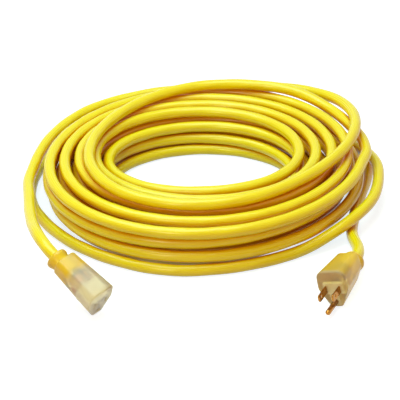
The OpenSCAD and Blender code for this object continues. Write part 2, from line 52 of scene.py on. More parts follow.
def add(tree, kind, sockets=None, **settings):
    """Adds a node with its settings; each socket takes a value or another node's output."""
    made = tree.nodes.new(kind)
    for name, value in settings.items():
        setattr(made, name, value)
    for name, value in (sockets or {}).items():
        if isinstance(value, bpy.types.NodeSocket):
            tree.links.new(value, made.inputs[name])
        else:
            made.inputs[name].default_value = value
    return made


def empty_tree(owner):
    """The cleared node tree of a material, lamp or world."""
    owner.use_nodes = True
    owner.node_tree.nodes.clear()
    return owner.node_tree


camera = bpy.data.objects.new("camera", bpy.data.cameras.new("camera"))
bpy.context.scene.collection.objects.link(camera)
bpy.context.scene.camera = camera
camera_aim = Vector((-0.0051, 0.0107, 0.0))
camera_distance = 1.5
camera_rise = math.radians(29)
camera_way = Vector((0, -math.cos(camera_rise), math.sin(camera_rise)))
camera.location = camera_aim + camera_distance * camera_way
camera.rotation_euler = (math.pi / 2 - camera_rise, 0, 0)
camera.data.sensor_width = 36
camera.data.lens = 139.05
camera.data.clip_end = 20
bpy.context.scene.view_settings.view_transform = "Standard"

tent = bpy.data.worlds.new("tent")
bpy.context.scene.world = tent
tent_tree = empty_tree(tent)
# whatever looks at the tent, straight, in a gloss or through clear plastic, finds it white
paths = add(tent_tree, "ShaderNodeLightPath")
seen = add(tent_tree, "ShaderNodeMath", {0: paths.outputs["Is Camera Ray"],
                                         1: paths.outputs["Is Glossy Ray"]}, operation="ADD")
seen = add(tent_tree, "ShaderNodeMath", {0: seen.outputs[0],
                                         1: paths.outputs["Is Transmission Ray"]},
           operation="ADD", use_clamp=True)
# the walls glow most where they meet the table
way_up = add(tent_tree, "ShaderNodeSeparateXYZ", {
    0: add(tent_tree, "ShaderNodeTexCoord").outputs["Generated"]})
wall_glow = add(tent_tree, "ShaderNodeMapRange", {"Value": way_up.outputs["Z"], "From Min": 0.0,
                                                  "From Max": 1.0, "To Min": 0.95, "To Max": 0.35})
tent_light = add(tent_tree, "ShaderNodeBackground", {"Color": (1, 0.38, 0.07, 1),
                                                     "Strength": wall_glow.outputs[0]})
tent_white = add(tent_tree, "ShaderNodeBackground", {"Color": (1, 1, 1, 1), "Strength": 1.0})
tent_mix = add(tent_tree, "ShaderNodeMixShader", {0: seen.outputs[0], 1: tent_light.outputs[0],
                                                  2: tent_white.outputs[0]})
add(tent_tree, "ShaderNodeOutputWorld", {"Surface": tent_mix.outputs[0]})

for lamp_name, lamp_place, lamp_size, lamp_power, lamp_colour in (
        ("soft_lamp", (-0.25, 0.05, 1.4), 1.4, 23.0, (0.67, 1.0, 1.0)),
        ("side_lamp", (-0.5, -1.3, 0.8), 0.35, 5.0, (1.0, 0.86, 0.62))):
    lamp = bpy.data.objects.new(lamp_name, bpy.data.lights.new(lamp_name, "AREA"))
    bpy.context.scene.collection.objects.link(lamp)
    lamp.data.shape = "DISK"
    lamp.data.size = lamp_size
    lamp.data.energy = lamp_power
    lamp.data.color = lamp_colour
    lamp.location = lamp_place
    lamp.rotation_euler = (-lamp.location).to_track_quat("-Z", "Y").to_euler()

# White laminate, pressed matt: a pale, even ground on which only the cord's soft shadow shows
floor_half = 4.0
floor_mesh = bpy.data.meshes.new("table_top")
floor_mesh.from_pydata([(-floor_half, -floor_half, 0), (floor_half, -floor_half, 0),
                        (floor_half, floor_half, 0), (-floor_half, floor_half, 0)], [], [(0, 1, 2, 3)])
floor = bpy.data.objects.new("table_top", floor_mesh)
bpy.context.scene.collection.objects.link(floor)
table_white = bpy.data.materials.new("white_laminate")
tree = empty_tree(table_white)
paths = add(tree, "ShaderNodeLightPath")
seen = add(tree, "ShaderNodeMath", {0: paths.outputs["Is Camera Ray"],
                                    1: paths.outputs["Is Glossy Ray"]}, operation="ADD")
seen = add(tree, "ShaderNodeMath", {0: seen.outputs[0], 1: paths.outputs["Is Transmission Ray"]},
           operation="ADD", use_clamp=True)
matt = add(tree, "ShaderNodeBsdfDiffuse", {"Color": srgb("ABABAB")})
glow = add(tree, "ShaderNodeEmission", {"Color": (0.74, 0.82, 0.865, 1), "Strength": seen.outputs[0]})
both = add(tree, "ShaderNodeAddShader", {0: matt.outputs[0], 1: glow.outputs[0]})
add(tree, "ShaderNodeOutputMaterial", {"Surface": both.outputs[0]})
floor_mesh.materials.append(table_white)

# The cord.
# One round three-conductor cord in a yellow PVC jacket, extruded over the twisted conductors, so
# that their lay shows through as a faint slow ridge. It is wound from the outside in and out again,
# in four layers; the plug's stretch goes round the pile on the table and the connector's over it.
cord_d = 0.0108
coil_r_out = 0.155
coil_r_in = 0.0835
layer_step = 0.0122
coil_turns = 17.6
# Turns of the spiral that are left out before the coil starts, and the way in which it begins
coil_lead_in = 0.85
coil_angle = math.radians(138)
layers = 4
layer_turns = coil_turns / layers
# The middle of a loop shifts from the outside to the inside, and from the table to the top
centre_out = (0.004, -0.007)
centre_in = (0.001, -0.010)
centre_out_rise = 0.003
centre_in_rise = 0.014
# How far a loop is from round, along the X axis and along the diagonal
oval_out = (-0.01, 0.052)
oval_in = (0.064, 0.0)
coil_z = 0.4 * cord_d
# The middle of the pile, from the middle of everything's outline on the table
pile_at = coil_r_out * Vector((-0.033, 0.201, 0))

# The two ends, which say where the cord begins and stops: their faces, bodies, waists and collars
face_w = 0.028
face_h = 0.034
face_round = 0.007
face_low_w = 0.013
low_round = 0.003
bulge_r = 0.010
bulge_y = 0.002
plug_body_len = 0.043
connector_body_len = 0.048
body_taper = 0.81
waist_len = 0.003
waist_d = 0.017
collar_len = 0.007
collar_d = 0.020
face_bevel = 0.0012
plug_end = plug_body_len + waist_len + collar_len
connector_end = connector_body_len + waist_len + collar_len
plug_jacket_depth = 0.028
connector_jacket_depth = 0.037


def rest_height(roll, dip):
    """How high the middle of a face stands over the table, for an end rolled and dipped."""
    drop = ((face_h / 2 - low_round) * math.cos(roll)
            + (face_low_w / 2 - low_round) * math.sin(abs(roll)) + low_round)
    return drop * math.cos(dip) - face_bevel * math.sin(dip)


def end_frame(out, yaw, dip, roll):
    """The frame of a moulded end: +Z out of its face, +Y up, the middle of the face at the origin."""
    yaw, dip, roll = (math.radians(a) for a in (yaw, dip, roll))
    place = pile_at + Vector((coil_r_out * out[0], coil_r_out * out[1], rest_height(roll, dip)))
    return (Matrix.Translation(place) @ Matrix.Rotation(yaw, 4, "Z")
            @ Matrix.Rotation(math.pi / 2 + dip, 4, "X") @ Matrix.Rotation(roll, 4, "Z"))


plug_frame = end_frame((0.7355, -1.357), -25, 0, 16)
connector_frame = end_frame((-0.5471, -1.469), 49, 25, 10)


def mix(a, b, t):
    """That share of the way from a to b."""
    return a + (b - a) * t


def smooth(x):
    """A soft step from 0 to 1."""
    c = max(0.0, min(1.0, x))
    return c * c * (3 - 2 * c)


def climbed(s):
    """How many layers the spiral has climbed after so many turns; each climb takes half a turn."""
    return sum(smooth((s - k * layer_turns) * 2 + 0.5) for k in range(1, layers))


def coil_point(s):
    """The middle of the cord after so many turns of the spiral."""
    layer = min(layers - 1, max(0, math.floor(s / layer_turns)))
    part = s / layer_turns - layer
    inward = part if layer % 2 == 0 else 1 - part
    level = climbed(s) / (layers - 1)
    a = coil_angle + 2 * math.pi * s
    oval = [mix(oval_out[k], oval_in[k], inward) for k in (0, 1)]
    r = mix(coil_r_out, coil_r_in, inward) * (1 + oval[0] * math.cos(2 * a) + oval[1] * math.sin(2 * a))
    mid_x = mix(centre_out[0], centre_in[0], inward)
    mid_y = mix(centre_out[1] + centre_out_rise * level, centre_in[1] + centre_in_rise * level, inward)
    return pile_at + Vector((mid_x + r * math.cos(a), mid_y + r * math.sin(a),
                             coil_z + layer_step * climbed(s)))


rings_per_turn = 48
coil_steps = round((coil_turns - coil_lead_in) * rings_per_turn)
coil_line = [coil_point(coil_lead_in + i / rings_per_turn) for i in range(coil_steps + 1)]
coil_start_way = (coil_line[2] - coil_line[0]).normalized()
coil_end_way = (coil_line[-1] - coil_line[-3]).normalized()

# Two numbers in radii of the outermost loop from the middle of the pile, then the lift in layers
plug_route = (
    (0.922, -0.839, 0.58), (0.908, -0.619, 0.04), (0.94, -0.4, 0), (1, -0.15, 0), (1.065, 0.1, 0),
    (1.095, 0.36, 0), (1.006, 0.619, 0), (0.703, 0.968, 0), (0.271, 1.103, 0), (-0.168, 1.097, 0),
    (-0.581, 0.929, 0), (-0.89, 0.613, 0), (-1.039, 0.206, 0), (-1.045, -0.219, 0),
    (-0.838, -0.622, 0), (-0.536, -0.888, 0), (-0.168, -1.026, 0), (0.232, -0.981, 0),
    (0.587, -0.819, 0.05), (0.89, -0.606, 1.06), (1.065, -0.323, 1.28), (1.123, 0.026, 1.4),
    (1.084, 0.258, 1.16), (1.013, 0.439, 0.7), (0.903, 0.581, 0.17), (0.542, 0.845, -0.03))
connector_route = (
    (1.019, 0.232, 3), (0.871, 0.581, 3.08), (0.632, 0.768, 3.74),
    (0.335, 0.852, 3.87), (0, 0.832, 3.87), (-0.29, 0.671, 3.87), (-0.529, 0.387, 3.87),
    (-0.665, 0.039, 3.87), (-0.658, -0.323, 3.87), (-0.465, -0.645, 3.87), (-0.103, -0.8, 3.87),
    (0.297, -0.723, 3.87), (0.645, -0.452, 3.92), (0.897, -0.09, 4.02), (0.994, 0.284, 4.02),
    (0.922, 0.649, 3.57), (0.684, 0.905, 3.08), (0.335, 1.019, 2.75), (-0.052, 1.006, 2.59),
    (-0.426, 0.903, 2.51), (-0.761, 0.684, 2.34), (-0.974, 0.31, 2.1), (-1.052, -0.155, 1.85),
    (-1.032, -0.413, 2.1), (-1, -0.677, 2.43), (-0.958, -0.91, 2.9), (-0.912, -1.08, 3.35))


def laid(q):
    """The middle of the cord at a place of a route."""
    return pile_at + Vector((q[0] * coil_r_out, q[1] * coil_r_out, cord_d / 2 + q[2] * layer_step))


def curve_through(points, steps):
    """A smooth line through the points, with that many steps from one to the next."""
    ends = [2 * points[0] - points[1], *points, 2 * points[-1] - points[-2]]
    line = []
    for i in range(len(points) - 1):
        a, b, c, d = ends[i:i + 4]
        for k in range(steps):
            f = k / steps
            line.append((2 * b + (c - a) * f + (2 * a - 5 * b + 4 * c - d) * f * f
                         + (3 * b - a - 3 * c + d) * f ** 3) / 2)
    return line + [points[-1]]


def way_out(end):
    """The way in which an end's face looks."""
    return (end.to_3x3() @ Vector((0, 0, 1))).normalized()


plug_way, connector_way = way_out(plug_frame), way_out(connector_frame)
plug_rear = plug_frame @ Vector((0, 0, -plug_end))
connector_rear = connector_frame @ Vector((0, 0, -connector_end))
route_steps = 12
plug_line = curve_through([plug_rear - cord_d * plug_way, *[laid(q) for q in plug_route],
                           coil_line[0] - 2 * cord_d * coil_start_way], route_steps)
connector_line = curve_through([coil_line[-1] + 2 * cord_d * coil_end_way,
                                *[laid(q) for q in connector_route],
                                connector_rear - cord_d * connector_way], route_steps)


def spaced(line, step):
    """The same line with its points evenly spaced, about a step apart."""
    line = np.array([tuple(p) for p in line])
    run = np.concatenate([[0], np.cumsum(np.linalg.norm(np.diff(line, axis=0), axis=1))])
    at = np.linspace(0, run[-1], round(run[-1] / step) + 1)
    return np.stack([np.interp(at, run, line[:, k]) for k in range(3)], axis=1)


cord_step = 0.004
cord_line = spaced([plug_frame @ Vector((0, 0, -plug_jacket_depth)), plug_rear, *plug_line,
                    *coil_line, *connector_line, connector_rear,
                    connector_frame @ Vector((0, 0, -connector_jacket_depth))], cord_step)
# The line is eased over the places where two stretches meet, and lifted to lie on the table
straight_points = round((plug_end - plug_jacket_depth) / cord_step)
easing = 4
for _ in range(easing):
    inner = cord_line[straight_points:-straight_points]
    inner[1:-1] = (inner[:-2] + 2 * inner[1:-1] + inner[2:]) / 4
cord_line[:, 2] = np.maximum(cord_line[:, 2], cord_d / 2)

# The jacket is soft PVC compound straight from the extruder. It shows a bright, even yellow with a
# low gloss that die lines break up along the cord, and slightly deeper patches where it was handled.
die_line_gap = 0.000909
die_line_run = 0.125
jacket_grain = 0.0005
handling_mark = 0.04
jacket_pvc = bpy.data.materials.new("yellow_pvc_jacket")
tree = empty_tree(jacket_pvc)
place = add(tree, "ShaderNodeAttribute", attribute_name="jacket_place")
# die lines 0.9 mm apart, which is as fine as shows, though real ones lie closer
stretch = add(tree, "ShaderNodeMapping", {
    "Vector": place.outputs["Vector"],
    "Scale": (1 / die_line_run, 1 / die_line_gap, 1 / die_line_gap)})
die_lines = add(tree, "ShaderNodeTexNoise", {"Vector": stretch.outputs[0], "Scale": 1.0,
                                             "Detail": 3.0, "Roughness": 0.55})
# a matt skin, drawn coarser than its real grains of 0.1 mm
grain = add(tree, "ShaderNodeTexNoise", {"Vector": place.outputs["Vector"],
                                         "Scale": 1 / jacket_grain, "Detail": 2.0})
marks = add(tree, "ShaderNodeTexNoise", {"Vector": place.outputs["Vector"],
                                         "Scale": 1 / handling_mark, "Detail": 4.0, "Roughness": 0.6})
shade = add(tree, "ShaderNodeMapRange", {"Value": marks.outputs[0], "From Min": 0.35,
                                         "From Max": 0.7, "To Min": 0.0, "To Max": 0.35})
open_colour = add(tree, "ShaderNodeMix", {"Factor": shade.outputs[0], "A": srgb("E2DC0A"),
                                          "B": srgb("E2CE08")}, data_type="RGBA")
# painted shade: where loops lie close together and little light reaches, a deep orange is mixed into the
# yellow
painted_shade_occlusion = add(tree, "ShaderNodeAmbientOcclusion", {"Distance": 0.018}, samples=6, only_local=True)
painted_shade_mask = add(tree, "ShaderNodeMapRange", {"Value": painted_shade_occlusion.outputs["AO"], "From Min": 0.1,
                                         "From Max": 0.75})
colour = add(tree, "ShaderNodeMix", {"Factor": painted_shade_mask.outputs[0], "A": srgb("E08E02"),
                                     "B": open_colour.outputs["Result"]}, data_type="RGBA")
relief = add(tree, "ShaderNodeMath", {0: die_lines.outputs[0], 1: grain.outputs[0]}, operation="ADD")
bump = add(tree, "ShaderNodeBump", {"Height": relief.outputs[0], "Strength": 0.35,
                                    "Distance": 0.00006})
gloss = add(tree, "ShaderNodeMapRange", {"Value": die_lines.outputs[0], "From Min": 0.3,
                                         "From Max": 0.7, "To Min": 0.22, "To Max": 0.32})
pvc = add(tree, "ShaderNodeBsdfPrincipled", {
    "Base Color": colour.outputs["Result"], "Roughness": gloss.outputs[0], "Normal": bump.outputs[0],
    "IOR": 1.53, "Specular IOR Level": 0.4})
add(tree, "ShaderNodeOutputMaterial", {"Surface": pvc.outputs[0]})

# The tube that is drawn over a path, with the lay of the conductors under it as slow ridges
conductors = 3
tube_tree = bpy.data.node_groups.new("extruded_tube", "GeometryNodeTree")
tube_tree.interface.new_socket("Path", in_out="INPUT", socket_type="NodeSocketGeometry")
for socket_name, kind in (("Diameter", "Float"), ("Sides", "Int"), ("Ridge", "Float"),
                          ("Lay", "Float"), ("Finish", "Material")):
    tube_tree.interface.new_socket(socket_name, in_out="INPUT", socket_type="NodeSocket" + kind)
tube_tree.interface.new_socket("Tube", in_out="OUTPUT", socket_type="NodeSocketGeometry")
given = add(tube_tree, "NodeGroupInput")
path_curve = add(tube_tree, "GeometryNodeMeshToCurve", {0: given.outputs["Path"]})
run = add(tube_tree, "GeometryNodeSplineParameter")
keep_run = add(tube_tree, "GeometryNodeCaptureAttribute", domain="POINT")
keep_run.capture_items.new("FLOAT", "Run")
tube_tree.links.new(path_curve.outputs[0], keep_run.inputs[0])
tube_tree.links.new(run.outputs["Length"], keep_run.inputs[1])
radius = add(tube_tree, "ShaderNodeMath", {0: given.outputs["Diameter"], 1: 0.5},
             operation="MULTIPLY")
round_section = add(tube_tree, "GeometryNodeCurvePrimitiveCircle", {
    "Resolution": given.outputs["Sides"], "Radius": radius.outputs[0]}, mode="RADIUS")
keep_turn = add(tube_tree, "GeometryNodeCaptureAttribute", domain="POINT")
keep_turn.capture_items.new("FLOAT", "Turn")
turn = add(tube_tree, "ShaderNodeMath", {0: run.outputs["Factor"], 1: 2 * math.pi},
           operation="MULTIPLY")
tube_tree.links.new(round_section.outputs["Curve"], keep_turn.inputs[0])
tube_tree.links.new(turn.outputs[0], keep_turn.inputs[1])
drawn = add(tube_tree, "GeometryNodeCurveToMesh", {
    "Curve": keep_run.outputs[0], "Profile Curve": keep_turn.outputs[0], "Fill Caps": True})
lay_turn = add(tube_tree, "ShaderNodeMath", {0: keep_run.outputs[1], 1: given.outputs["Lay"]},
               operation="DIVIDE")
lay_turn = add(tube_tree, "ShaderNodeMath", {0: lay_turn.outputs[0], 1: 2 * math.pi},
               operation="MULTIPLY")
lay_turn = add(tube_tree, "ShaderNodeMath", {0: keep_turn.outputs[1], 1: lay_turn.outputs[0]},
               operation="ADD")
lay_turn = add(tube_tree, "ShaderNodeMath", {0: lay_turn.outputs[0], 1: conductors},
               operation="MULTIPLY")
wave = add(tube_tree, "ShaderNodeMath", {0: lay_turn.outputs[0]}, operation="COSINE")
wave = add(tube_tree, "ShaderNodeMath", {0: wave.outputs[0], 1: given.outputs["Ridge"]},
           operation="MULTIPLY")
outwards = add(tube_tree, "GeometryNodeInputNormal")
ridge = add(tube_tree, "ShaderNodeVectorMath", {0: outwards.outputs[0], "Scale": wave.outputs[0]},
            operation="SCALE")
raised = add(tube_tree, "GeometryNodeSetPosition", {"Geometry": drawn.outputs[0],
                                                    "Offset": ridge.outputs[0]})
across = add(tube_tree, "ShaderNodeMath", {0: keep_turn.outputs[1]}, operation="COSINE")
across = add(tube_tree, "ShaderNodeMath", {0: across.outputs[0], 1: radius.outputs[0]},
             operation="MULTIPLY")
upwards = add(tube_tree, "ShaderNodeMath", {0: keep_turn.outputs[1]}, operation="SINE")
upwards = add(tube_tree, "ShaderNodeMath", {0: upwards.outputs[0], 1: radius.outputs[0]},
              operation="MULTIPLY")
on_jacket = add(tube_tree, "ShaderNodeCombineXYZ", {0: keep_run.outputs[1], 1: across.outputs[0],
                                                    2: upwards.outputs[0]})
stored = add(tube_tree, "GeometryNodeStoreNamedAttribute", {
    "Geometry": raised.outputs[0], "Name": "jacket_place", "Value": on_jacket.outputs[0]},
    data_type="FLOAT_VECTOR", domain="POINT")
shaded = add(tube_tree, "GeometryNodeSetShadeSmooth", {"Geometry": stored.outputs[0]})
whole = add(tube_tree, "GeometryNodeRealizeInstances", {"Geometry": shaded.outputs[0]})
finished = add(tube_tree, "GeometryNodeSetMaterial", {"Geometry": whole.outputs[0],
                                                      "Material": given.outputs["Finish"]})
add(tube_tree, "NodeGroupOutput", {0: finished.outputs[0]})


def put(name, mesh):
    """A piece from a mesh whose place is in its points."""
    piece = bpy.data.objects.new(name, mesh)
    bpy.context.scene.collection.objects.link(piece)
    return piece


def plain_mesh(piece):
    """The piece's evaluated shape as a plain mesh, in place of its modifiers."""
    seen_now = piece.evaluated_get(bpy.context.evaluated_depsgraph_get())
    mesh = bpy.data.meshes.new_from_object(seen_now)
    name = piece.name
    bpy.data.objects.remove(piece)
    mesh.name = name
    return put(name, mesh)


def extruded(name, line, **sizes):
    """A tube along a line of points."""
    line = [tuple(p) for p in line]
    mesh = bpy.data.meshes.new(name)
    mesh.from_pydata(line, [(i, i + 1) for i in range(len(line) - 1)], [])
    piece = put(name, mesh)
    draw = piece.modifiers.new("draw", "NODES")
    draw.node_group = tube_tree
    for item in tube_tree.interface.items_tree:
        if item.in_out == "INPUT" and item.name in sizes:
            draw[item.identifier] = sizes[item.name]
    return plain_mesh(piece)


cord_sides = 22
lay_ridge = 0.0001
lay_length = 0.12
cord = extruded("cord", cord_line, Diameter=cord_d, Sides=cord_sides, Ridge=lay_ridge,
                Lay=lay_length, Finish=jacket_pvc)

# The moulded ends.
# Clear PVC is injected round the finished inner works: a shield-shaped body that narrows to a
# round waist and a collar for the cord. The mould leaves soft edges and a fine matt skin.
ring_points = 128
# Clear PVC with a warm tint shows a soft gloss, and is hazy enough to blur what lies deeper in it
mould_grain = 0.0002
flow_wave = 0.00833
bleed_reach = 0.009
clear_pvc = bpy.data.materials.new("clear_pvc_moulding")
tree = empty_tree(clear_pvc)
where = add(tree, "ShaderNodeTexCoord")
# the fine matt that the mould leaves, drawn coarser than its real 0.05 mm
matt_skin = add(tree, "ShaderNodeTexNoise", {"Vector": where.outputs["Object"],
                                             "Scale": 1 / mould_grain, "Detail": 1.0})
# slow waves from the plastic's flow
flow = add(tree, "ShaderNodeTexNoise", {"Vector": where.outputs["Object"],
                                        "Scale": 1 / flow_wave, "Detail": 1.0})
height = add(tree, "ShaderNodeMath", {0: flow.outputs[0], 1: 25.0, 2: matt_skin.outputs[0]},
             operation="MULTIPLY_ADD")
bump = add(tree, "ShaderNodeBump", {"Height": height.outputs[0], "Strength": 0.3,
                                    "Distance": 0.00001})
haze = add(tree, "ShaderNodeMapRange", {"Value": flow.outputs[0], "From Min": 0.3, "From Max": 0.7,
                                        "To Min": 0.29, "To Max": 0.32})
# the jacket's yellow bleeds into the clear plastic round it, and clouds it
into_bleed = add(tree, "ShaderNodeAttribute", attribute_name="into_bleed")
bleed = add(tree, "ShaderNodeMapRange", {"Value": into_bleed.outputs["Fac"], "From Min": 0.0,
                                         "From Max": bleed_reach}, interpolation_type="SMOOTHSTEP")
clear_colour = add(tree, "ShaderNodeMix", {"Factor": bleed.outputs[0], "A": srgb("EEE6C6"),
                                           "B": srgb("F0D422")}, data_type="RGBA")
cloud = add(tree, "ShaderNodeMapRange", {"Value": bleed.outputs[0], "To Min": 0.74, "To Max": 0.52})
body = add(tree, "ShaderNodeBsdfPrincipled", {
    "Base Color": clear_colour.outputs["Result"], "Roughness": haze.outputs[0], "IOR": 1.45,
    "Transmission Weight": cloud.outputs[0], "Normal": bump.outputs[0]})
tint = add(tree, "ShaderNodeVolumeAbsorption", {"Color": srgb("E0CA8C"), "Density": 55.0})
# the lamps' light goes straight through the skin to what the plastic holds
to_lamps = add(tree, "ShaderNodeLightPath")
lamp_light = add(tree, "ShaderNodeBsdfTransparent", {"Color": srgb("EFE6CC")})
both = add(tree, "ShaderNodeMixShader", {0: to_lamps.outputs["Is Shadow Ray"], 1: body.outputs[0],
                                         2: lamp_light.outputs[0]})
add(tree, "ShaderNodeOutputMaterial", {"Surface": both.outputs[0], "Volume": tint.outputs[0]})

# The outline goes round three pairs of circles: upper corners, flanks and lower corners
upper_inset = 0.0005
corners = [(side * (face_w / 2 - upper_inset - face_round), face_h / 2 - face_round, face_round)
           for side in (-1, 1)]
corners += [(side * (face_w / 2 - bulge_r), bulge_y, bulge_r) for side in (-1, 1)]
corners += [(side * (face_low_w / 2 - low_round), low_round - face_h / 2, low_round)
            for side in (-1, 1)]
ring_angles = np.arange(ring_points) * 2 * math.pi / ring_points
ring_ways = np.stack([np.cos(ring_angles), np.sin(ring_angles)])
outline_steps = 720
edge_on = 0.02


def shield(inset, share=1.0):
    """A ring of the shield-shaped outline, set in from its edge and then reduced to a share."""
    normals = np.arange(outline_steps) * 2 * math.pi / outline_steps
    ways = np.stack([np.cos(normals), np.sin(normals)], axis=1)
    reach = np.max([ways @ np.array(c[:2]) + c[2] - inset for c in corners], axis=0)
    facing = ways @ ring_ways
    far = np.where(facing > edge_on, reach[:, None] / np.maximum(facing, edge_on), 1.0)
    return (ring_ways * far.min(axis=0) * share).T


def circle(r):
    """A round ring with as many points as the shield-shaped ones."""
    return (ring_ways * r).T


edge = 0.0016
shoulder = 0.0022
neck_fillet = 0.0012
rear_lip = 0.0012
face_insets = (0.006, 0.003, 0.002)
# Where the rings of the flanks and of the rear stand, as shares of the way along and inwards
flank_parts = (0.1, 0.25, 0.4, 0.55, 0.7, 0.85)
rear_parts = (0.3, 0.6, 0.85)
quarter = [math.radians(a) for a in (0, 15, 30, 45, 60, 75, 90)]
# From the waist into the collar: radius over the waist's own, and how far past the waist
waist_profile = ((0, -0.001), (0.0002, 0), (0.0007, 0.001))
# The collar from the waist to its rear: radius from the collar's own, and depth from its rear
collar_profile = ((-0.0007, 0.0050), (-0.0002, 0.0042), (0, 0.0034), (0, 0.0016), (-0.0003, 0.0008),
                  (-0.0008, 0.0003), (-0.0015, 0), (-0.0025, 0))


def end_rings(body_len):
    """The rings of a moulded end from its face to its rear, for a main body of that length."""
    end_len = body_len + waist_len + collar_len
    rings = [(shield(inset), 0.0) for inset in face_insets]
    rings += [(shield(edge * (1 - math.sin(a))), -edge * (1 - math.cos(a))) for a in quarter]
    for part in flank_parts:
        rings.append((shield(0, mix(1, body_taper, part)), -mix(edge, body_len - shoulder, part)))
    rings += [(shield(shoulder * (1 - math.cos(a)), body_taper),
               -(body_len - shoulder) - shoulder * math.sin(a)) for a in quarter]
    neck = waist_d / 2 + neck_fillet
    for part in rear_parts:
        rings.append((mix(shield(shoulder, body_taper), circle(neck), part), -body_len))
    rings += [(circle(neck - neck_fillet * math.sin(a)), -body_len - neck_fillet * (1 - math.cos(a)))
              for a in quarter]
    rings += [(circle(waist_d / 2 + rise), -body_len - waist_len - back) for rise, back in waist_profile]
    rings += [(circle(collar_d / 2 + rise), back - end_len) for rise, back in collar_profile]
    return rings + [(circle(cord_d / 2 + rear_lip), -end_len)]


def ring_skin(rings, frame_here):
    """A closed skin over rings of points, from the front one to the back one."""
    count = len(rings[0][0])
    points = [frame_here @ Vector((x, y, z)) for ring, z in rings for x, y in ring]
    faces = []
    for i in range(len(rings) - 1):
        for k in range(count):
            n = (k + 1) % count
            faces.append((i * count + k, (i + 1) * count + k, (i + 1) * count + n, i * count + n))
    for ring, z, first, flip in ((rings[0][0], rings[0][1], 0, False),
                                 (rings[-1][0], rings[-1][1], (len(rings) - 1) * count, True)):
        middle = len(points)
        points.append(frame_here @ Vector((*ring.mean(axis=0), z)))
        for k in range(count):
            n = (k + 1) % count
            faces.append((middle, first + n, first + k) if flip else (middle, first + k, first + n))
    mesh = bpy.data.meshes.new("skin")
    mesh.from_pydata(points, [], faces)
    mesh.shade_smooth()
    return mesh


plug_body = put("plug_body", ring_skin(end_rings(plug_body_len), plug_frame))
connector_body = put("connector_body", ring_skin(end_rings(connector_body_len), connector_frame))
for piece in (plug_body, connector_body):
    piece.data.materials.append(clear_pvc)

# The plug's blades and ground pin.
# Blades are stamped from brass sheet and tumbled, so that their edges are soft; each grows into
# the barrel that is crimped on its conductor. The ground pin is turned from rod with a round nose.
blade_pitch = 0.0127
blade_w = 0.00635
blade_t = 0.00152
blade_len = 0.0175
blade_tip = 0.0014
blade_edge = 0.0003
blade_hole_d = 0.0032
blade_hole_at = 0.012
pin_d = 0.0048
pin_len = 0.021
pin_drop = 0.0119
pin_root_d = 0.0044
pin_step = 0.0002
blade_root = 0.009
barrel_d = 0.004
barrel_len = 0.005
barrel_edge = 0.0003
barrel_round = 0.0004
barrel_lap = 0.001
crimp_gap = 0.00005
copper_d = 0.0023
wire_d = 0.0036
bare_copper = 0.0015
barrel_back = blade_root + barrel_len
line_at = (-blade_pitch / 2, 0)
neutral_at = (blade_pitch / 2, 0)
ground_at = (0, -pin_drop)

# Tumbled brass shows a warm metal with soft, slightly broken glints, browner where it has tarnished
scuff_size = 0.0004545
tarnish_patch = 0.00625
brass = bpy.data.materials.new("tumbled_brass")
tree = empty_tree(brass)
where = add(tree, "ShaderNodeTexCoord")
# tumbling marks, drawn coarser than their real 0.1 mm
scuffs = add(tree, "ShaderNodeTexNoise", {"Vector": where.outputs["Object"],
                                          "Scale": 1 / scuff_size, "Detail": 3.0, "Roughness": 0.6})
patches = add(tree, "ShaderNodeTexNoise", {"Vector": where.outputs["Object"],
                                           "Scale": 1 / tarnish_patch, "Detail": 3.0})
tarnish = add(tree, "ShaderNodeMix", {"Factor": patches.outputs[0], "A": srgb("C48A42"),
                                      "B": srgb("96601E")}, data_type="RGBA")
rough = add(tree, "ShaderNodeMapRange", {"Value": scuffs.outputs[0], "From Min": 0.3,
                                         "From Max": 0.7, "To Min": 0.1, "To Max": 0.22})
bump = add(tree, "ShaderNodeBump", {"Height": scuffs.outputs[0], "Strength": 0.4,
                                    "Distance": 0.00003})
metal = add(tree, "ShaderNodeBsdfPrincipled", {
    "Base Color": tarnish.outputs["Result"], "Metallic": 1.0,
    "Roughness": rough.outputs[0], "Normal": bump.outputs[0]})
add(tree, "ShaderNodeOutputMaterial", {"Surface": metal.outputs[0]})


def turned(profile, frame_here, sides=40):
    """A solid of revolution about +Z from (radius, z) points, closed at both ends."""
    angles = np.arange(sides) * 2 * math.pi / sides
    ways = np.stack([np.cos(angles), np.sin(angles)], axis=1)
    return ring_skin([(ways * r, z) for r, z in profile], frame_here)


def joined(name, meshes, finish):
    """One piece out of several meshes."""
    whole_mesh = bmesh.new()
    for mesh in meshes:
        whole_mesh.from_mesh(mesh)
    mesh = bpy.data.meshes.new(name)
    whole_mesh.to_mesh(mesh)
    whole_mesh.free()
    mesh.materials.append(finish)
    piece = put(name, mesh)
    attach(piece, "root")
    return piece


def bevelled(mesh, width, segments=3, sharp_from=math.radians(25)):
    """The mesh with its sharp edges rounded."""
    work = bmesh.new()
    work.from_mesh(mesh)
    bmesh.ops.remove_doubles(work, verts=work.verts, dist=1e-7)
    sharp = [edge for edge in work.edges
             if len(edge.link_faces) == 2 and edge.calc_face_angle() > sharp_from]
    bmesh.ops.bevel(work, geom=sharp, offset=width, segments=segments, affect="EDGES", profile=0.5)
    bmesh.ops.recalc_face_normals(work, faces=work.faces)
    work.to_mesh(mesh)
    work.free()
    mesh.shade_smooth()
    return mesh


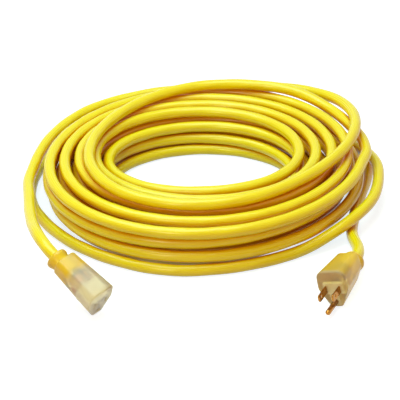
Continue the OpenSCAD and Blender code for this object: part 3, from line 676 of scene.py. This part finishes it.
def stamped(outline, hole_at, hole_r, thickness, frame_here):
    """A flat sheet part in the YZ plane of the frame, with a round hole, from its outline."""
    work = bmesh.new()
    hole_sides = 24
    loops = [outline, [(hole_r * math.cos(-2 * math.pi * k / hole_sides),
                        hole_at + hole_r * math.sin(-2 * math.pi * k / hole_sides))
                       for k in range(hole_sides)]]
    edges = []
    for loop in loops:
        verts = [work.verts.new((0, y, z)) for y, z in loop]
        edges += [work.edges.new((verts[i], verts[(i + 1) % len(verts)])) for i in range(len(verts))]
    filled = bmesh.ops.triangle_fill(work, edges=edges, use_beauty=True, use_dissolve=False)
    flat = [g for g in filled["geom"] if isinstance(g, bmesh.types.BMFace)]
    grown = bmesh.ops.extrude_face_region(work, geom=flat)
    verts = [g for g in grown["geom"] if isinstance(g, bmesh.types.BMVert)]
    bmesh.ops.translate(work, verts=verts, vec=(thickness, 0, 0))
    bmesh.ops.translate(work, verts=work.verts, vec=(-thickness / 2, 0, 0))
    bmesh.ops.recalc_face_normals(work, faces=work.faces)
    work.transform(frame_here)
    mesh = bpy.data.meshes.new("stamped")
    work.to_mesh(mesh)
    work.free()
    return mesh


def nose(r, tip, steps=8):
    """The points of a round nose that ends at the tip."""
    return [(max(r * math.sin(a), 1e-5), tip - r + r * math.cos(a))
            for a in [math.pi / 2 * k / steps for k in range(steps + 1)]]


half = blade_w / 2
blade_outline = [(-half, -blade_root), (half, -blade_root), (half, blade_len - blade_tip),
                 (half - blade_tip, blade_len), (blade_tip - half, blade_len),
                 (-half, blade_len - blade_tip)]
# The barrel from its front, which laps over the root, to its rear, where the copper goes in
barrel_profile = [(barrel_d / 2 - barrel_edge, barrel_lap - blade_root),
                  (barrel_d / 2, barrel_lap - barrel_round - blade_root),
                  (barrel_d / 2, barrel_round - barrel_back),
                  (barrel_d / 2 - barrel_edge, -barrel_back), (copper_d / 2 + crimp_gap, -barrel_back)]
for blade_name, node_name, at in (("line_blade", "plug_line_blade", line_at),
                                  ("neutral_blade", "plug_neutral_blade", neutral_at)):
    here = plug_frame @ Matrix.Translation((*at, 0))
    flat_blade = stamped(blade_outline, blade_hole_at, blade_hole_d / 2, blade_t, here)
    blade = joined(blade_name, [bevelled(flat_blade, blade_edge), turned(barrel_profile, here)],
                   brass)
    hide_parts(node_name)
here = plug_frame @ Matrix.Translation((*ground_at, 0))
pin_profile = nose(pin_d / 2, pin_len) + [
    (pin_d / 2, 0.0), (pin_root_d / 2, -pin_step), (pin_root_d / 2, -blade_root)]
ground_pin = joined("ground_pin", [turned(pin_profile, here), turned(barrel_profile, here)],
                    brass)
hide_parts("plug_ground_pin")

# The conductors inside the two ends.
# Stranded copper in black, white and green PVC insulation. Each leaves the jacket, eases over to
# its barrel and is bared just before it. The insulation shows a dull, even colour, and the warm
# plastic round the black one lifts it to a dark brown.
insulation_grain = 0.001
wire_finish = {}
for colour_name, code in (("black", "54402E"), ("white", "E9E6DC"), ("green", "3B7A45")):
    finish = bpy.data.materials.new(colour_name + "_pvc_insulation")
    tree = empty_tree(finish)
    where = add(tree, "ShaderNodeTexCoord")
    # a slightly uneven extruded skin, drawn as coarse as shows
    skin = add(tree, "ShaderNodeTexNoise", {"Vector": where.outputs["Object"],
                                            "Scale": 1 / insulation_grain, "Detail": 3.0})
    bump = add(tree, "ShaderNodeBump", {"Height": skin.outputs[0], "Strength": 0.3,
                                        "Distance": 0.00004})
    rough = add(tree, "ShaderNodeMapRange", {"Value": skin.outputs[0], "To Min": 0.55,
                                             "To Max": 0.7})
    skin_shader = add(tree, "ShaderNodeBsdfPrincipled", {
        "Base Color": srgb(code), "Roughness": rough.outputs[0], "Normal": bump.outputs[0],
        "Specular IOR Level": 0.25})
    add(tree, "ShaderNodeOutputMaterial", {"Surface": skin_shader.outputs[0]})
    wire_finish[colour_name] = finish

# The three lie this far from the middle of the jacket, with a little play between them
wire_play = 0.0001
jacket_core = wire_d / math.sqrt(3) + wire_play
face_skin = 0.0015
insert_depth = 0.017
contact_back = face_skin + insert_depth + barrel_len
# Each starts this far inside the jacket, and is straight again for a little before its bared end
wire_tuck = 0.003
wire_straight = 0.001
wire_sides = 24
wire_bends = 20
for end_name, here, depth, back, runs in (
        ("plug", plug_frame, plug_jacket_depth, barrel_back,
         (("black", 150, line_at), ("white", 30, neutral_at), ("green", 270, ground_at))),
        ("connector", connector_frame, connector_jacket_depth, contact_back,
         (("black", 30, neutral_at), ("white", 150, line_at), ("green", 270, ground_at)))):
    for colour_name, angle, target in runs:
        angle = math.radians(angle)
        start = (jacket_core * math.cos(angle), jacket_core * math.sin(angle))
        front = -back - bare_copper - wire_straight
        line = [Vector((*start, -depth - wire_tuck))]
        for i in range(wire_bends + 1):
            part = i / wire_bends
            ease = (1 - math.cos(math.pi * part)) / 2
            line.append(Vector((mix(start[0], target[0], ease), mix(start[1], target[1], ease),
                                mix(-depth, front, part))))
        line.append(Vector((*target, -back - bare_copper)))
        wire = extruded(end_name + "_" + colour_name + "_conductor", [here @ p for p in line],
                        Diameter=wire_d, Sides=wire_sides, Ridge=0.0, Lay=lay_length,
                        Finish=wire_finish[colour_name])
        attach(wire, "root")
        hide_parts(end_name + "_" + colour_name + "_wire")

# The connector's face.
# Steel cores in the mould leave two slots for blades and a round hole for the ground pin. They go
# through the clear plastic into the cream insert behind it.
slot_t = 0.0022
slot_h = 0.0072
socket_d = 0.0054
slot_depth = 0.011
core_front = 0.002
slot_corners = np.array([(-slot_t, -slot_h), (slot_t, -slot_h), (slot_t, slot_h), (-slot_t, slot_h)]) / 2
cores = [ring_skin([(slot_corners + at, core_front), (slot_corners + at, -slot_depth)], connector_frame)
         for at in (line_at, neutral_at)]
cores.append(turned([(socket_d / 2, core_front), (socket_d / 2, -slot_depth)],
                    connector_frame @ Matrix.Translation((*ground_at, 0))))
for core_mesh in cores:
    core = put("core", core_mesh)
    cut = connector_body.modifiers.new("cut", "BOOLEAN")
    cut.operation = "DIFFERENCE"
    cut.solver = "EXACT"
    cut.object = core
    connector_body = plain_mesh(connector_body)
    bpy.data.objects.remove(core)

# The jacket's yellow shows in the plastic from this far behind each face; less than none in the
# plug, whose face has some of it already
plug_bleed = -0.003
connector_bleed = 0.026
for piece, node_name, here, bleed_start in (
        (plug_body, "plug_overmold", plug_frame, plug_bleed),
        (connector_body, "connector_overmold", connector_frame, connector_bleed)):
    into_bleed = piece.data.attributes.new("into_bleed", "FLOAT", "POINT").data
    for point, kept in zip(piece.data.vertices, into_bleed):
        kept.value = -(here.inverted() @ point.co).z - bleed_start
    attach(piece, "root")
    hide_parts(node_name)

# The works inside: bridge, insert, contacts, bared copper and lamp.
# Bridge and insert are moulded in nylon before the clear plastic goes round them. The contacts are
# bent from sheet brass and sit in the insert's pockets; the lamp hangs on its leads and a resistor.


def plain_finish(name, code, rough_low, rough_high, metallic=0.0, size=0.001, depth=0.00004):
    """A moulded, sheet or glass finish with an uneven skin whose grains have that size."""
    finish = bpy.data.materials.new(name)
    tree = empty_tree(finish)
    where = add(tree, "ShaderNodeTexCoord")
    skin = add(tree, "ShaderNodeTexNoise", {"Vector": where.outputs["Object"], "Scale": 1 / size,
                                            "Detail": 3.0})
    bump = add(tree, "ShaderNodeBump", {"Height": skin.outputs[0], "Strength": 0.4, "Distance": depth})
    rough = add(tree, "ShaderNodeMapRange", {"Value": skin.outputs[0], "From Min": 0.3, "From Max": 0.7,
                                             "To Min": rough_low, "To Max": rough_high})
    shader = add(tree, "ShaderNodeBsdfPrincipled", {
        "Base Color": srgb(code), "Metallic": metallic, "Roughness": rough.outputs[0],
        "Normal": bump.outputs[0]})
    add(tree, "ShaderNodeOutputMaterial", {"Surface": shader.outputs[0]})
    return finish, shader


# moulded nylon shows an even, milky white with hardly any gloss
white_nylon = plain_finish("white_nylon_bridge", "E2E3E0", 0.4, 0.55)[0]
# the insert's nylon is a cooler white, which the warm plastic round it turns to cream
cream_nylon = plain_finish("cream_nylon_insert", "D6D8D8", 0.4, 0.55)[0]
# drawn copper strands show a reddish metal, broken up as finely as the strands lie
copper = plain_finish("bare_copper_strands", "C4713B", 0.3, 0.45, metallic=1.0, size=0.0004)[0]
# tinned wire shows a pale grey metal with a soft gloss
tinned = plain_finish("tinned_copper_lead", "C9C6BE", 0.25, 0.4, metallic=1.0)[0]
# the resistor is dipped in tan lacquer, which shows a low, rounded gloss
resistor_coat = plain_finish("dipped_resistor", "B98F5E", 0.3, 0.45)[0]
# the lamp is blown glass over a glow that tints it orange, clear and glossy
lamp_glass, lamp_shader = plain_finish("neon_lamp_glass", "F5C89A", 0.03, 0.08)
lamp_shader.inputs["Transmission Weight"].default_value = 0.7
for node_name, finish in (
        ("plug_bridge", white_nylon), ("connector_insert", cream_nylon),
        ("line_contact", brass), ("neutral_contact", brass), ("ground_contact", brass),
        ("plug_black_copper", copper), ("plug_white_copper", copper), ("plug_green_copper", copper),
        ("connector_black_copper", copper), ("connector_white_copper", copper),
        ("connector_green_copper", copper),
        ("lamp_bulb", lamp_glass), ("lamp_resistor", resistor_coat), ("lamp_leads", tinned)):
    for material_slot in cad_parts[node_name].material_slots:
        material_slot.material = finish

# The cord in its two ends.
# Its PVC jacket runs through each collar into the moulding, which grips it all round, so that the
# cord leaves the plug at its rear and ends in the connector.
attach(cord, "root")
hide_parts("cord_coil", "plug_tail", "connector_tail", "plug_jacket_end", "connector_jacket_end")
